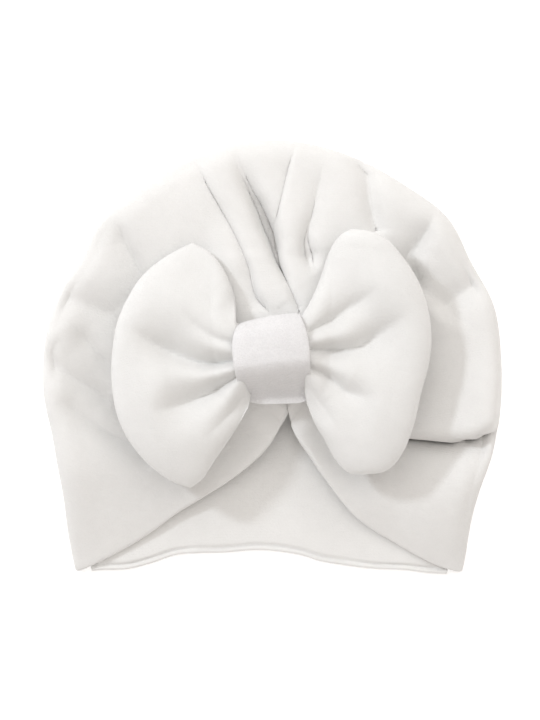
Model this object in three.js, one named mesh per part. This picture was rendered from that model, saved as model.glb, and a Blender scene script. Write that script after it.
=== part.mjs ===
// A baby's turban hat of thick white jersey, lying on its back with its bow facing up.
// +X is to the right, +Y points to the closed top of the hat, +Z points up from the surface that it lies on.
// The head goes in from -Y. Millimetres throughout.
//
// crown  one double layer of jersey: flat back, rolled sides, puffed front gathered to a point under the knot
// bow    one padded pouch, pinched at its waist into two loops
// knot   the band that closes round the waist of the bow and sits on the gather
import * as THREE from 'three';

// Crown
const crownWidth = 193;
const crownLength = 185;
const crownLoft = 34; // height of the puffed front above the surface
const crownWall = 2.2; // two layers of jersey
const sideRoll = 15; // how far the rolled side reaches in under the hat
const hemArch = 4; // how far the back hem curves up between its two corners
const gatherRadius = 3; // the bundle of cloth where every pleat ends

// Knot
const knotWidth = 31;
const knotLength = 39;
const knotWall = 3;
const knotPuff = 1.6; // how far the middle of the band stands out over its two edges

// Bow
const bowSpan = 134;
const bowDrop = 104;
const bowLoft = 15; // height of a loop above its seam
const bowBack = 4; // depth of a loop below its seam
const waistThickness = 12;
const bandShape = 3.6; // how square the waist and the inside of the band are: 2 is an ellipse
const seamThickness = 2.4;

// Clearances
const touchGap = 0.35; // between two pieces that are sewn together
const restGap = 1.2; // between a loop of the bow and the cloth below it

const halfWidth = crownWidth / 2;
const halfLength = crownLength / 2;

// Where the knot sits, and where the gather is hidden under its lower end.
const knotX = -0.004 * halfWidth;
const knotY = -0.014 * halfLength;
const gatherX = 0.039 * halfWidth;
const gatherY = knotY - 0.52 * knotLength;

// The outline from above. turn: degrees round the middle of the hat. reach: share of the ellipse through its extremes.
const outline = [
  { turn: 229, reach: 1.293 }, // left corner of the hem
  { turn: 223, reach: 1.212 },
  { turn: 216, reach: 1.13 },
  { turn: 209, reach: 1.07 },
  { turn: 200, reach: 1.024 },
  { turn: 190, reach: 1.012 },
  { turn: 180, reach: 1.0 },
  { turn: 168, reach: 0.984 },
  { turn: 160, reach: 0.968 },
  { turn: 151, reach: 0.943 }, // the dent between the two left folds
  { turn: 140, reach: 0.976 },
  { turn: 128, reach: 0.972 },
  { turn: 110, reach: 0.986 },
  { turn: 90, reach: 1.0 }, // top of the crown
  { turn: 70, reach: 0.988 },
  { turn: 54, reach: 0.982 },
  { turn: 40, reach: 1.0 },
  { turn: 27, reach: 0.974 }, // the dent on the right
  { turn: 14, reach: 0.998 },
  { turn: 0, reach: 1.0 },
  { turn: -12, reach: 1.02 },
  { turn: -24, reach: 1.058 },
  { turn: -34, reach: 1.095 },
  { turn: -42, reach: 1.16 },
  { turn: -50, reach: 1.28 }, // right corner of the hem
];
const firstTurn = outline[0].turn;
const lastTurn = outline[outline.length - 1].turn;
const hemLine = 0.985; // share of the half length at which the two corners lie

// Sections across the hat, from the hem to the top. at: share of the half length. The rest are shares of the loft.
// rim: height of the fold that stands up along the side, edge: height of its widest line,
// floor: height of the front between the two rims.
const sections = [
  { at: -1.0, rim: 0.19, edge: 0.12, floor: 0.17 },
  { at: -0.8, rim: 0.4, edge: 0.19, floor: 0.34 },
  { at: -0.55, rim: 0.6, edge: 0.3, floor: 0.42 },
  { at: -0.25, rim: 0.7, edge: 0.35, floor: 0.45 },
  { at: 0.1, rim: 0.72, edge: 0.36, floor: 0.47 },
  { at: 0.4, rim: 0.7, edge: 0.36, floor: 0.58 },
  { at: 0.7, rim: 0.66, edge: 0.34, floor: 0.7 },
  { at: 1.0, rim: 0.53, edge: 0.29, floor: 0.62 },
];
const rimShare = 0.1; // share of the way to the outline over which the rim falls to its widest line
const rimShape = 2.2; // roundness of that fall: 2 is an ellipse, more is boxier

// The free hem of the front. at: share of the way from the gather to a corner. height: share of the loft.
const hemHeights = [
  { at: 0, height: 0.66 },
  { at: 0.1, height: 0.49 },
  { at: 0.3, height: 0.4 },
  { at: 0.5, height: 0.34 },
  { at: 0.65, height: 0.25 },
  { at: 0.8, height: 0.19 },
  { at: 1, height: 0.15 },
];

// The folds of the front, each a curve through three places given as shares of the half width and half length.
// depth: of the valley as a share of the loft. left, right: how wide the cloth falls into it on either side of its run,
// as shares of the half width. step: how far the left side stands over the right one, as a share of the loft.
const folds = [
  { name: 'pleat_a', from: [-0.33, 0.94], via: [-0.16, 0.57], to: [0.0, 0.21], depth: 0.08, left: 0.06, right: 0.06, step: 0.07 },
  { name: 'pleat_b', from: [0.08, 0.99], via: [0.04, 0.6], to: [0.11, 0.24], depth: 0.26, left: 0.06, right: 0.135, step: 0.06 },
  { name: 'pleat_c', from: [0.17, 0.87], via: [0.18, 0.62], to: [0.16, 0.38], depth: 0.13, left: 0.08, right: 0.06, step: 0 },
  { name: 'pleat_d', from: [0.39, 0.93], via: [0.42, 0.73], to: [0.47, 0.54], depth: 0.21, left: 0.06, right: 0.09, step: 0.04 },
  { name: 'right_f', from: [0.72, 0.74], via: [0.66, 0.58], to: [0.59, 0.44], depth: 0.18, left: 0.07, right: 0.09, step: 0 },
  { name: 'right_g', from: [0.93, 0.34], via: [0.8, 0.28], to: [0.7, 0.18], depth: 0.18, left: 0.08, right: 0.08, step: 0 },
  { name: 'right_lap', from: [0.99, -0.33], via: [0.76, -0.36], to: [0.54, -0.39], depth: 0.16, left: 0.12, right: 0.07, step: -0.18 },
  { name: 'left_1', from: [-0.69, 0.66], via: [-0.63, 0.5], to: [-0.56, 0.34], depth: 0.13, left: 0.06, right: 0.09, step: 0 },
  { name: 'left_2', from: [-0.93, 0.28], via: [-0.78, 0.26], to: [-0.64, 0.18], depth: 0.15, left: 0.08, right: 0.09, step: 0 },
  { name: 'left_3', from: [-0.92, 0.15], via: [-0.81, 0.06], to: [-0.69, -0.03], depth: 0.1, left: 0.06, right: 0.06, step: 0 },
  { name: 'left_4', from: [-0.98, 0.02], via: [-0.83, -0.11], to: [-0.67, -0.22], depth: 0.19, left: 0.09, right: 0.06, step: 0.04 },
  { name: 'left_5', from: [-0.93, -0.17], via: [-0.8, -0.3], to: [-0.65, -0.39], depth: 0.08, left: 0.08, right: 0.08, step: 0 },
];
const stepReach = 0.23; // share of the half width over which a step evens out

// How far the two flaps of the front hem bulge over the straight line from the gather to their corner, as shares of the
// half width. skew: below 1 the bulge moves towards the gather. fall: share of the half width over which the front
// comes down to its free hem.
const flaps = {
  left: { bulge: 0.088, skew: 0.5, fall: 0.17 },
  right: { bulge: 0.1, skew: 1, fall: 0.12 },
};
const flapShare = 0.16; // share of the columns over which a flap's bulge fades out

// The bow's loops: corners as shares of the half span and half drop from the knot's middle, belly of the outer seam,
// how full that curve is (2 is an ellipse), and how far the seams by the knot bow out, as shares of the half span.
const loops = {
  left: { side: -1, top: [-0.47, 0.95], bottom: [-0.52, -1.02], belly: 0.505, full: 1.75, topBow: 0.1, bottomBow: 0.04 },
  right: { side: 1, top: [0.5, 1.07], bottom: [0.53, -0.93], belly: 0.475, full: 2.1, topBow: 0.1, bottomBow: 0.04 },
};

// The creases of each loop, curves through three places given as shares of the half span and half drop from the knot.
// depth: share of the bow's loft. wide: at the knot, share of the half span. grow: how many times wider at the end.
const creases = {
  left: [
    { from: [-0.21, 0.0], via: [-0.58, 0.05], to: [-0.92, 0.29], depth: 0.6, wide: 0.06, grow: 3.2 },
    { from: [-0.21, -0.13], via: [-0.47, -0.31], to: [-0.75, -0.38], depth: 0.57, wide: 0.06, grow: 3 },
    { from: [-0.22, 0.13], via: [-0.45, 0.26], to: [-0.6, 0.52], depth: 0.17, wide: 0.07, grow: 2.4 },
  ],
  right: [
    { from: [0.22, 0.23], via: [0.46, 0.4], to: [0.66, 0.6], depth: 0.37, wide: 0.06, grow: 2.6 },
    { from: [0.24, 0.1], via: [0.59, 0.14], to: [0.9, 0.39], depth: 0.63, wide: 0.06, grow: 3.2 },
    { from: [0.24, -0.05], via: [0.45, -0.22], to: [0.68, -0.32], depth: 0.5, wide: 0.06, grow: 3 },
  ],
};

// Mesh fineness
const crownColumns = 86;
const frontRows = 17;
const rollRows = 4;
const backRows = 3;
const loopSections = 13;
const loopPoints = 19;
const knotSections = 40;
const knotPoints = 10;

const clamp = (value, low, high) => Math.min(high, Math.max(low, value));
const mix = (a, b, share) => a + (b - a) * share;
const smoothstep = (low, high, value) => {
  const t = clamp((value - low) / (high - low), 0, 1);
  return t * t * (3 - 2 * t);
};
const bell = (value, width) => Math.exp(-((value / width) ** 2));
const slope = (value, width) => Math.exp(-Math.abs(value) / width);
const superArc = (share, power) => (1 - clamp(Math.abs(share), 0, 1) ** power) ** (1 / power);

// A smooth curve through one column of a table whose rows are sorted by another.
function readTable(rows, key, column, at) {
  const rising = rows[1][key] > rows[0][key];
  const place = (row) => (rising ? row[key] : -row[key]);
  const where = clamp(rising ? at : -at, place(rows[0]), place(rows[rows.length - 1]));
  let i = 0;
  while (i < rows.length - 2 && place(rows[i + 1]) < where) i++;
  const row = (n) => rows[clamp(n, 0, rows.length - 1)];
  const rise = (n) => {
    const run = place(row(n + 1)) - place(row(n - 1));
    return (row(n + 1)[column] - row(n - 1)[column]) / run;
  };
  const run = place(rows[i + 1]) - place(rows[i]);
  const t = (where - place(rows[i])) / run;
  const ends = (2 * t ** 3 - 3 * t ** 2 + 1) * rows[i][column] + (3 * t ** 2 - 2 * t ** 3) * rows[i + 1][column];
  return ends + run * ((t ** 3 - 2 * t ** 2 + t) * rise(i) + (t ** 3 - t ** 2) * rise(i + 1));
}

// The outline's reach in any direction. Below the hem's corners it is the straight line between them.
function outlineReach(turn) {
  const fromLast = (((turn - lastTurn) % 360) + 360) % 360;
  if (fromLast <= firstTurn - lastTurn) return readTable(outline, 'turn', 'reach', lastTurn + fromLast);
  return hemLine / Math.max(0.3, Math.abs(Math.sin(THREE.MathUtils.degToRad(turn))));
}

function outlinePoint(turn) {
  const angle = THREE.MathUtils.degToRad(turn);
  const reach = outlineReach(turn);
  return new THREE.Vector2(halfWidth * reach * Math.cos(angle), halfLength * reach * Math.sin(angle));
}

// The flat seat that the knot presses into the gather.
const seatHeight = crownLoft * 0.76;
function seatShare(x, y) {
  const across = Math.abs(x - knotX) / (knotWidth / 2);
  const along = Math.abs(y - knotY) / (knotLength / 2);
  return 1 - smoothstep(1.15, 2.3, (across ** 4 + along ** 4) ** 0.25);
}

// Where a point lies by a curve through three places: how far to the left of its run, and how far along it from 0 to 1.
function placeBy(row, halfX, halfY, x, y) {
  const steps = 8;
  const at = (t) => {
    const share = (k) => {
      const control = 2 * row.via[k] - (row.from[k] + row.to[k]) / 2;
      return (1 - t) ** 2 * row.from[k] + 2 * t * (1 - t) * control + t ** 2 * row.to[k];
    };
    return [share(0) * halfX, share(1) * halfY];
  };
  let nearest = { far: Infinity, toLeft: 0, along: 0 };
  for (let i = 0; i < steps; i++) {
    const [ax, ay] = at(i / steps);
    const [bx, by] = at((i + 1) / steps);
    const [dx, dy] = [bx - ax, by - ay];
    const t = clamp(((x - ax) * dx + (y - ay) * dy) / (dx ** 2 + dy ** 2), 0, 1);
    const [ox, oy] = [x - ax - t * dx, y - ay - t * dy];
    const far = Math.hypot(ox, oy);
    if (far < nearest.far) nearest = { far, toLeft: far * Math.sign(dx * oy - dy * ox), along: (i + t) / steps };
  }
  return nearest;
}

// What one fold adds to the front's height at a point, in millimetres.
function foldHeight(fold, x, y) {
  const { toLeft, along } = placeBy(fold, halfWidth, halfLength, x, y);
  const ends = smoothstep(0, 0.3, along) * (1 - smoothstep(0.75, 1, along));
  const wide = (toLeft > 0 ? fold.left : fold.right) * halfWidth;
  const reach = stepReach * halfWidth;
  const step = fold.step * (smoothstep(-0.3, 0.3, toLeft / reach) - 0.5) * slope(toLeft, reach);
  return crownLoft * ends * (step - fold.depth * bell(toLeft, wide * 1.2));
}

// Height of the front's outer surface over any point of the plan, up to the rim.
function frontHeight(x, y) {
  const turn = THREE.MathUtils.radToDeg(Math.atan2(y / halfLength, x / halfWidth));
  const outward = Math.hypot(x / halfWidth, y / halfLength) / outlineReach(turn);
  const rim = crownLoft * readTable(sections, 'at', 'rim', y / halfLength);
  const floor = crownLoft * readTable(sections, 'at', 'floor', y / halfLength);
  const creased = folds.reduce((sum, fold) => sum + foldHeight(fold, x, y), 0);
  const inside = 1 - smoothstep(0.85, 1, outward);
  const front = mix(floor, rim, smoothstep(0.6, 0.97, outward)) + creased * inside;
  return mix(front, seatHeight, seatShare(x, y));
}

// The crown runs in columns from the gather over the front, round the rolled side and back along the flat back to the hem.
const columnTurn = (column) => mix(firstTurn, lastTurn, column);

function gatherPoint(column) {
  const angle = THREE.MathUtils.degToRad(mix(255, -78, column));
  return new THREE.Vector2(gatherX + gatherRadius * Math.cos(angle), gatherY + gatherRadius * Math.sin(angle));
}

function frontPlan(column, share) {
  const start = gatherPoint(column);
  const end = outlinePoint(columnTurn(column));
  const chord = end.clone().sub(start);
  const down = new THREE.Vector2(chord.y, -chord.x).normalize();
  const leftSide = column < 0.5;
  const flap = leftSide ? flaps.left : flaps.right;
  const near = bell(leftSide ? column : 1 - column, flapShare);
  const bulge = flap.bulge * halfWidth * near * Math.sin(Math.PI * share ** flap.skew) * (leftSide ? -1 : 1);
  return start.lerp(end, share).addScaledVector(down, bulge);
}

function frontPoint(column, share) {
  const plan = frontPlan(column, share);
  const leftSide = column < 0.5;
  const hem = crownLoft * readTable(hemHeights, 'at', 'height', share);
  const fall = (leftSide ? flaps.left : flaps.right).fall * halfWidth;
  const away = plan.distanceTo(frontPlan(leftSide ? 0 : 1, share));
  const height = mix(frontHeight(plan.x, plan.y), hem, slope(away, fall * smoothstep(-0.1, 0.3, share)));
  const edge = crownLoft * readTable(sections, 'at', 'edge', plan.y / halfLength);
  const rolled = superArc(Math.max(0, (share - 1 + rimShare) / rimShare), rimShape);
  return new THREE.Vector3(plan.x, plan.y, mix(edge, height, rolled));
}

// How far inside the outline the rolled side touches the surface.
function rollFoot(column) {
  const end = outlinePoint(columnTurn(column));
  const roll = sideRoll * clamp(readTable(sections, 'at', 'edge', end.y / halfLength) / sections[3].edge, 0.25, 1);
  return end.addScaledVector(end.clone().normalize(), -roll);
}

function hemPoint(column) {
  const across = mix(-1, 1, column);
  const left = rollFoot(0);
  const right = rollFoot(1);
  const inset = crownWall * 1.5;
  const x = mix(left.x + inset, right.x - inset, column);
  return new THREE.Vector2(x, mix(left.y, right.y, column) + hemArch * (1 - across ** 2) ** 1.3);
}

function crownPoint(column, row) {
  if (row <= frontRows) return frontPoint(column, 1 - (1 - row / frontRows) ** 1.35);
  const foot = rollFoot(column);
  if (row <= frontRows + rollRows) {
    const rim = outlinePoint(columnTurn(column));
    const height = frontPoint(column, 1).z;
    const angle = ((row - frontRows) / rollRows) * (Math.PI / 2);
    const plan = rim.lerp(foot, 1 - Math.cos(angle));
    return new THREE.Vector3(plan.x, plan.y, height * (1 - Math.sin(angle)));
  }
  const plan = foot.lerp(hemPoint(column), (row - frontRows - rollRows) / backRows);
  return new THREE.Vector3(plan.x, plan.y, 0);
}

function geometryOf(points, triangles) {
  const geometry = new THREE.BufferGeometry();
  geometry.setAttribute('position', new THREE.Float32BufferAttribute(points.flatMap((p) => p.toArray()), 3));
  geometry.setIndex(triangles);
  geometry.computeVertexNormals();
  return geometry;
}

// A wall of even thickness inside a grid of outer points, closed along its four edges.
function wallFromGrid(columns, rows, pointAt, thickness) {
  const index = (i, j) => i * rows + j;
  const outer = [];
  for (let i = 0; i < columns; i++) for (let j = 0; j < rows; j++) outer.push(pointAt(i, j));
  const triangles = [];
  for (let i = 0; i < columns - 1; i++) {
    for (let j = 0; j < rows - 1; j++) {
      const [a, b, c, d] = [index(i, j), index(i, j + 1), index(i + 1, j + 1), index(i + 1, j)];
      triangles.push(a, c, b, a, d, c);
    }
  }
  const normals = geometryOf(outer, triangles).getAttribute('normal');
  const inner = outer.map((p, n) => p.clone().addScaledVector(new THREE.Vector3().fromBufferAttribute(normals, n), -thickness));
  const count = outer.length;
  const closed = [...triangles];
  for (let n = 0; n < triangles.length; n += 3) {
    closed.push(count + triangles[n], count + triangles[n + 2], count + triangles[n + 1]);
  }
  const border = [];
  for (let j = 0; j < rows - 1; j++) border.push(index(0, j));
  for (let i = 0; i < columns - 1; i++) border.push(index(i, rows - 1));
  for (let j = rows - 1; j > 0; j--) border.push(index(columns - 1, j));
  for (let i = columns - 1; i > 0; i--) border.push(index(i, 0));
  border.forEach((a, n) => {
    const b = border[(n + 1) % border.length];
    closed.push(a, b, count + a, b, count + b, count + a);
  });
  return geometryOf([...outer, ...inner], closed);
}

// A closed skin through rings of points. Its ends are capped, or meet each other if it is a band.
function skinFromRings(rings, isBand) {
  const size = rings[0].length;
  const points = rings.flat();
  const triangles = [];
  const last = isBand ? rings.length : rings.length - 1;
  for (let i = 0; i < last; i++) {
    const next = (i + 1) % rings.length;
    for (let j = 0; j < size; j++) {
      const k = (j + 1) % size;
      const [a, b, c, d] = [i * size + j, i * size + k, next * size + k, next * size + j];
      triangles.push(a, b, c, a, c, d);
    }
  }
  if (!isBand) {
    const end = (rings.length - 1) * size;
    for (let j = 0; j < size / 2 - 1; j++) {
      const k = size - 1 - j;
      triangles.push(j, k, j + 1, j + 1, k, k - 1);
      triangles.push(end + j, end + j + 1, end + k, end + j + 1, end + k - 1, end + k);
    }
  }
  return geometryOf(points, triangles);
}

function crownGeometry() {
  const rows = frontRows + rollRows + backRows + 1;
  const column = (i) => {
    const even = i / (crownColumns - 1);
    return even + 0.07 * Math.sin(2 * Math.PI * even);
  };
  return wallFromGrid(crownColumns, rows, (i, j) => crownPoint(column(i), j), crownWall);
}

// Heights of the stack at the knot.
const knotBottom = seatHeight + touchGap;
const waistBottom = knotBottom + knotWall + touchGap;
const waistMiddle = waistBottom + waistThickness / 2;
const knotTop = waistBottom + waistThickness + touchGap + knotWall;
const waistHalf = knotLength / 2 - knotWall - touchGap;

// How deep one crease lies at a point of the plan, as a share of the bow's loft.
function creaseDepth(crease, x, y) {
  const { toLeft, along } = placeBy(crease, bowSpan / 2, bowDrop / 2, x - knotX, y - knotY);
  const wide = (crease.wide * bowSpan * mix(0.75, crease.grow, along)) / 2;
  const fade = (1 - smoothstep(0.35, 1, along)) * (1 - 0.25 * along);
  return crease.depth * fade * slope(toLeft, wide);
}

// One point of a loop's seam plane: along runs from the waist (0) to the outer seam (1), across from top to bottom seam.
function loopPlan(loop, along, across) {
  const halfSpan = bowSpan / 2;
  const halfDrop = bowDrop / 2;
  const start = [loop.side * (knotWidth / 2 + touchGap), waistHalf];
  const top = new THREE.Vector2(
    mix(start[0], loop.top[0] * halfSpan, along),
    mix(start[1], loop.top[1] * halfDrop, along),
  );
  const bottom = new THREE.Vector2(
    mix(start[0], loop.bottom[0] * halfSpan, along),
    mix(-start[1], loop.bottom[1] * halfDrop, along),
  );
  const bow = Math.sin(Math.PI * along) ** 1.5 * halfSpan;
  top.x -= loop.side * loop.topBow * bow;
  bottom.x -= loop.side * loop.bottomBow * bow;
  const belly = loop.side * loop.belly * halfSpan * superArc(2 * across - 1, loop.full) * along ** 1.5;
  return new THREE.Vector2(
    knotX + mix(top.x, bottom.x, across) + belly,
    knotY + mix(top.y, bottom.y, across),
  );
}

function loopRing(name, along) {
  const loop = loops[name];
  const grown = smoothstep(0, 0.5, along);
  const end = superArc(along, 3.2);
  const front = [];
  const back = [];
  for (let j = 0; j < loopPoints; j++) {
    const across = 0.5 - 0.5 * Math.cos((Math.PI * j) / (loopPoints - 1));
    const plan = loopPlan(loop, along, across);
    const pillow = superArc(2 * across - 1, mix(bandShape * 0.75, 2.4, grown));
    const crease = creases[name].reduce((sum, row) => sum + creaseDepth(row, plan.x, plan.y), 0);
    const rest = frontHeight(plan.x, plan.y) + restGap;
    const seam = mix(waistMiddle, Math.max(rest + bowBack, waistMiddle * 0.76) + seamThickness / 2, grown);
    const thick = mix(waistThickness / 2, bowLoft, grown) - crease * bowLoft * smoothstep(0, 0.3, along);
    const deep = mix(waistThickness / 2, bowBack, grown);
    const half = (seamThickness / 2) * smoothstep(0, 0.2, along);
    const under = Math.max(seam - half - (deep - half) * pillow * end, grown > 0 ? rest : 0);
    const over = Math.max(seam + half + (thick - half) * pillow * end, under + 2 * half);
    front.push(new THREE.Vector3(plan.x, plan.y, over));
    back.push(new THREE.Vector3(plan.x, plan.y, under));
  }
  return [...front, ...back.reverse()];
}

function bowGeometry() {
  const rings = [];
  for (let i = 0; i <= loopSections; i++) rings.push(loopRing('left', 1 - (i / loopSections) ** 1.3));
  for (let i = 0; i <= loopSections; i++) rings.push(loopRing('right', 1 - (1 - i / loopSections) ** 1.3));
  return skinFromRings(rings, false);
}

// The band: a rounded oblong loop in the YZ plane, thickest and tallest in the middle of its width.
function knotGeometry() {
  const middle = (knotBottom + knotTop) / 2;
  const halfRise = (knotTop - knotBottom) / 2;
  const halfReach = knotLength / 2;
  const rings = [];
  for (let i = 0; i < knotSections; i++) {
    const angle = (2 * Math.PI * i) / knotSections;
    const c = Math.sign(Math.cos(angle)) * Math.abs(Math.cos(angle)) ** (2 / bandShape);
    const s = Math.sign(Math.sin(angle)) * Math.abs(Math.sin(angle)) ** (2 / bandShape);
    const ring = [];
    for (let j = 0; j < knotPoints; j++) {
      const turn = (2 * Math.PI * j) / knotPoints;
      const across = Math.cos(turn);
      const puff = knotPuff * (1 - across ** 2) * Math.max(0, s);
      const outward = knotWall * (0.5 + 0.5 * Math.sin(turn)) + (Math.sin(turn) > 0 ? puff : 0);
      const y = (halfReach - knotWall + outward) * c;
      const z = (halfRise - knotWall + outward) * s;
      ring.push(new THREE.Vector3(knotX + (across * knotWidth) / 2, knotY + y, middle + z));
    }
    rings.push(ring);
  }
  return skinFromRings(rings, true);
}

const jersey = { color: 0xf2f1ee, roughness: 0.92, metalness: 0 };

function piece(name, geometry) {
  const mesh = new THREE.Mesh(geometry, new THREE.MeshStandardMaterial(jersey));
  mesh.name = name;
  return mesh;
}

const turban = new THREE.Group();
turban.add(piece('crown', crownGeometry()));
turban.add(piece('bow', bowGeometry()));
turban.add(piece('knot', knotGeometry()));

// The origin is under the middle of the hat, on the surface that it lies on.
const box = new THREE.Box3().setFromObject(turban);
const middle = box.getCenter(new THREE.Vector3());
turban.position.set(-middle.x, -middle.y, -box.min.z);

export default turban;
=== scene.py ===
"""A baby's turban of thick white jersey, lying on its back on a pale floor and seen from straight above.

Shapes are worked out in millimetres and turned into metres when a piece is made. +Z is up, +Y is the closed
top of the hat, and the head goes in from -Y. plan() turns a spot of the photograph, in pixels, into a place
on the hat.
"""

import math
from typing import NamedTuple

import bmesh
import bpy
import numpy as np
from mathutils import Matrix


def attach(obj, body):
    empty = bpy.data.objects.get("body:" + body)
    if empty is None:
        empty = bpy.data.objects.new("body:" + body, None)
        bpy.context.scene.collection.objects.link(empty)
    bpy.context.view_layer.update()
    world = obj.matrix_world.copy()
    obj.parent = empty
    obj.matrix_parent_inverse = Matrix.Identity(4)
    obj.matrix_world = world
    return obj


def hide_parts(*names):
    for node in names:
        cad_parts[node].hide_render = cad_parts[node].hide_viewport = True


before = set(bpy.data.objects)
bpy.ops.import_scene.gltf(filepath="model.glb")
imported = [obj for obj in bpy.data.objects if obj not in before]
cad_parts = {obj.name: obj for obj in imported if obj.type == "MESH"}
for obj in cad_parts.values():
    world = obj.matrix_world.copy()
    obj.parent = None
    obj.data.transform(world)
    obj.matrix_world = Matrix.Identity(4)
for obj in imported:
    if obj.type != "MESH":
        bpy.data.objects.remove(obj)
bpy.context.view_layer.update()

# The picture
MM_PER_PIXEL = 0.43
MIDDLE = (272.0, 358.5)  # the spot of the photograph over the middle of the hat's outline
SHIFT_Y = -0.92  # from the hat's origin to that middle
CAMERA_HEIGHT = 860.0
PICTURE_WIDE, PICTURE_TALL = 540, 720

# The hat, as its solids have it
HALF_WIDTH = 193 / 2
HALF_LENGTH = 185 / 2
WALL = 2.4
SIDE_ROLL = 15.0  # how far the rolled side reaches in under the hat, where it is thickest
FULL_EDGE = 11.0  # height of the side's widest place from which the roll has its full reach
KNOT_X, KNOT_Y = -0.4, -1.3
KNOT_WIDTH, KNOT_LENGTH = 31.0, 39.0
SEAT = 34.0 * 0.76  # height of the gathered cloth under the knot
SEAT_ABOVE, SEAT_BELOW = KNOT_LENGTH * 0.75, 14.0  # how far it reaches from the knot, up and down the hat
UNDER_KNOT = (16.5, 20.5)  # half sizes of the ground under the knot, where the cloth has no folds
GATHER = (2.6, -13.0)  # where the pleats run together, under the knot
GATHER_RADIUS = 3.0
GATHER_TURNS = (255, -78)  # degrees round the gather at the left hem and at the right one


def smooth(low, high, value):
    """0 at low and 1 at high, with a soft start and end."""
    t = np.clip((value - low) / (high - low), 0, 1)
    return t * t * (3 - 2 * t)


def bell(value, width):
    return np.exp(-((value / width) ** 2))


def arc(share, power):
    """1 in the middle and 0 at -1 and 1: a half circle at power 2, and fuller above it."""
    return (1 - np.clip(np.abs(share), 0, 1) ** power) ** (1 / power)


def mix(a, b, share):
    return a + (b - a) * share


def run_along(line):
    """How far along a line each of its points lies."""
    return np.concatenate([[0], np.cumsum(np.linalg.norm(np.diff(line, axis=0), axis=1))])


def curve_through(points, samples):
    """A smooth curve through a few points, evenly spaced along its length."""
    p = np.asarray(points, float)
    ends = np.vstack([2 * p[0] - p[1], p, 2 * p[-1] - p[-2]])
    out = []
    for i in range(len(p) - 1):
        a, b, c, d = ends[i : i + 4]
        t = np.linspace(0, 1, 24, endpoint=False)[:, None]
        bend = (2 * a - 5 * b + 4 * c - d) * t**2
        out.append(0.5 * (2 * b + (c - a) * t + bend + (3 * b - a - 3 * c + d) * t**3))
    line = np.vstack(out + [p[-1:]])
    run = run_along(line)
    even = np.linspace(0, run[-1], samples)
    return np.column_stack([np.interp(even, run, line[:, k]) for k in range(line.shape[1])])


def plan(spots, height):
    """Places in millimetres under spots of the photograph, for cloth that stands at a height."""
    near = (CAMERA_HEIGHT - height) / CAMERA_HEIGHT
    p = np.asarray(spots, float)
    return np.column_stack(
        [(p[:, 0] - MIDDLE[0]) * MM_PER_PIXEL * near, (MIDDLE[1] - p[:, 1]) * MM_PER_PIXEL * near + SHIFT_Y]
    )


def wander(x, y, scale, seed):
    """Slow, soft unevenness between about -1 and 1."""
    rng = np.random.default_rng(seed)
    total = np.zeros_like(x)
    for _ in range(7):
        a, b = rng.uniform(0, 2 * np.pi, 2)
        k = rng.uniform(0.6, 1.5) * 2 * np.pi / scale
        total += np.sin(k * (x * np.cos(a) + y * np.sin(a)) + b)
    return total / 3.2


# The crown's outline from above: degrees round the middle, and the share of the ellipse through the hat's
# extremes
OUTLINE = [
    (229, 1.325), (223, 1.228), (216, 1.13), (209, 1.07), (200, 1.024), (190, 1.012), (180, 1.0),
    (168, 0.984), (160, 0.968), (151, 0.943), (140, 0.976), (128, 0.972), (110, 0.986), (90, 1.0),
    (70, 0.988), (54, 0.982), (40, 1.0), (27, 0.974), (14, 0.998), (0, 1.0), (-12, 1.02), (-24, 1.058),
    (-34, 1.095), (-42, 1.172), (-50, 1.31),
]
FIRST_TURN, LAST_TURN = OUTLINE[0][0], OUTLINE[-1][0]
LOWER_EDGE = 0.985  # share of the half length at which a straight line joins the two corners
outline_line = curve_through(OUTLINE[::-1], 400)

# The crown's height along the hat: share of the half length, then the height of the fold that stands up along
# the side, of the side's widest place, and of the front between the two folds
SECTIONS = [
    (-1.0, 8.0, 4.1, 4.2),
    (-0.8, 17.5, 6.5, 6.6),
    (-0.55, 24.5, 10.5, 9.4),
    (-0.25, 25.0, 11.9, 13.0),
    (0.1, 24.5, 12.2, 16.0),
    (0.4, 23.8, 12.2, 19.7),
    (0.7, 22.4, 11.6, 23.8),
    (1.0, 18.0, 9.9, 21.1),
]
section_line = curve_through(SECTIONS, 200)

# The front's free hems, from the notch under the knot to the left corner and to the right one
LEFT_HEM = [
    (289, 398), (288, 409), (284.5, 419), (278.5, 430), (270, 444), (254, 461), (231, 479.5), (201, 499),
    (178, 513), (155, 530), (129, 547), (87.5, 572),
]
RIGHT_HEM = [
    (286, 397), (287.5, 409), (290.5, 421), (297, 438), (310, 456), (324, 478), (340, 499), (355, 516),
    (375, 531), (395, 543), (413, 554), (428, 564), (453, 575),
]
# Their height: share of the way to the corner, millimetres
HEM_HEIGHT = np.array(
    [(0, 23.0), (0.05, 21.0), (0.1, 16.5), (0.3, 13.5), (0.5, 9.4), (0.65, 6.8), (0.8, 5.3), (1, 4.4)]
)
# How far from each hem the cloth comes down to it, and how much the right one starts under the left one
LEFT_HEM_REACH, RIGHT_HEM_REACH, NOTCH_REACH = 28.0, 11.0, 5.0
RIGHT_UNDER_LEFT = 3.4
# The back's hem, from its left corner to its right one
BACK_HEM = [
    (92, 571), (104, 570), (128, 569), (152, 563), (176, 555), (200, 553), (224, 552.5), (260, 550),
    (296, 554), (320, 561), (344, 565), (372, 568.5), (404, 570), (428, 573), (447, 574),
]
# The ridge of gathered cloth that stands up between the bow's loops
GATHERED = [(215, 205), (232, 250), (252, 300), (262, 330)]
GATHERED_RISE, GATHERED_WIDTH = 4.5, 9
# Shares of the way from the hat's middle to its outline: where the fold along the side is highest, and the
# part over which the front rolls over into the side
CREST, ROLL_OVER = 0.98, 0.1

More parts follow.
